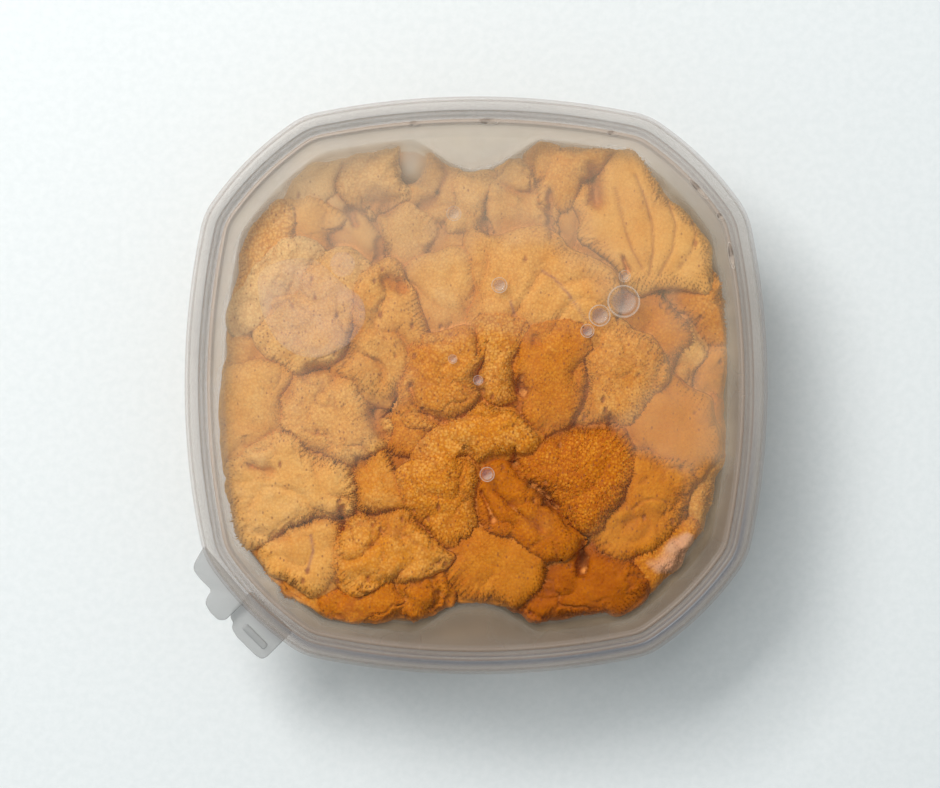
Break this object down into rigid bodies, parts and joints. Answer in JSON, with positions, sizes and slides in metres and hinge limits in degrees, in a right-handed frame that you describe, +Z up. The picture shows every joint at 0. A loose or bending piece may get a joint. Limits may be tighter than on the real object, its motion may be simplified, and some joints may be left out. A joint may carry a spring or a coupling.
{
  "type": "tub of sea urchin roe in brine",
  "caption": "Shut square clear-lidded plastic tub filled with orange sea urchin roe lobes in brine, with finger grips and a corner opening tab; stands flat on a table or shelf.",
  "frame": {"origin": "middle of the tub's flat base, on the surface it stands on", "axes": "+Z up through the lid; +X and +Y along the tub's sides, with the opening tabs on the -X -Y corner and the finger grips on the -Y and +Y sides"},
  "size_m": [0.1152, 0.1142, 0.038],
  "materials": {
    "tub_plastic": "thin frosted translucent polypropylene",
    "lid_plastic": "clear, slightly milky polypropylene with a soft gloss",
    "brine": "cloudy seawater with a little roe in it",
    "roe": "wet, finely granular roe"
  },
  "bodies": {
    "root": {"tub": "tub_plastic", "lid": "lid_plastic", "brine": "brine", "roe_bed": "roe", "roe_01": "roe", "roe_02": "roe", "roe_03": "roe", "roe_04": "roe", "roe_05": "roe", "roe_06": "roe", "roe_07": "roe", "roe_08": "roe", "roe_09": "roe", "roe_10": "roe", "roe_11": "roe", "roe_12": "roe", "roe_13": "roe", "roe_14": "roe", "roe_15": "roe", "roe_16": "roe", "roe_17": "roe", "roe_18": "roe", "roe_19": "roe", "roe_20": "roe", "roe_21": "roe", "roe_22": "roe", "roe_23": "roe", "roe_24": "roe", "roe_25": "roe", "roe_26": "roe", "roe_27": "roe", "roe_28": "roe", "roe_29": "roe", "roe_30": "roe", "roe_31": "roe", "roe_32": "roe", "roe_33": "roe", "roe_34": "roe", "roe_35": "roe", "roe_36": "roe", "roe_37": "roe", "roe_38": "roe", "roe_39": "roe", "roe_40": "roe", "roe_41": "roe", "roe_42": "roe", "roe_43": "roe", "roe_44": "roe", "roe_45": "roe", "roe_46": "roe", "roe_47": "roe", "roe_48": "roe", "roe_49": "roe", "roe_50": "roe", "roe_51": "roe", "roe_52": "roe", "roe_53": "roe", "roe_54": "roe", "roe_55": "roe"}
  },
  "joints": []
}
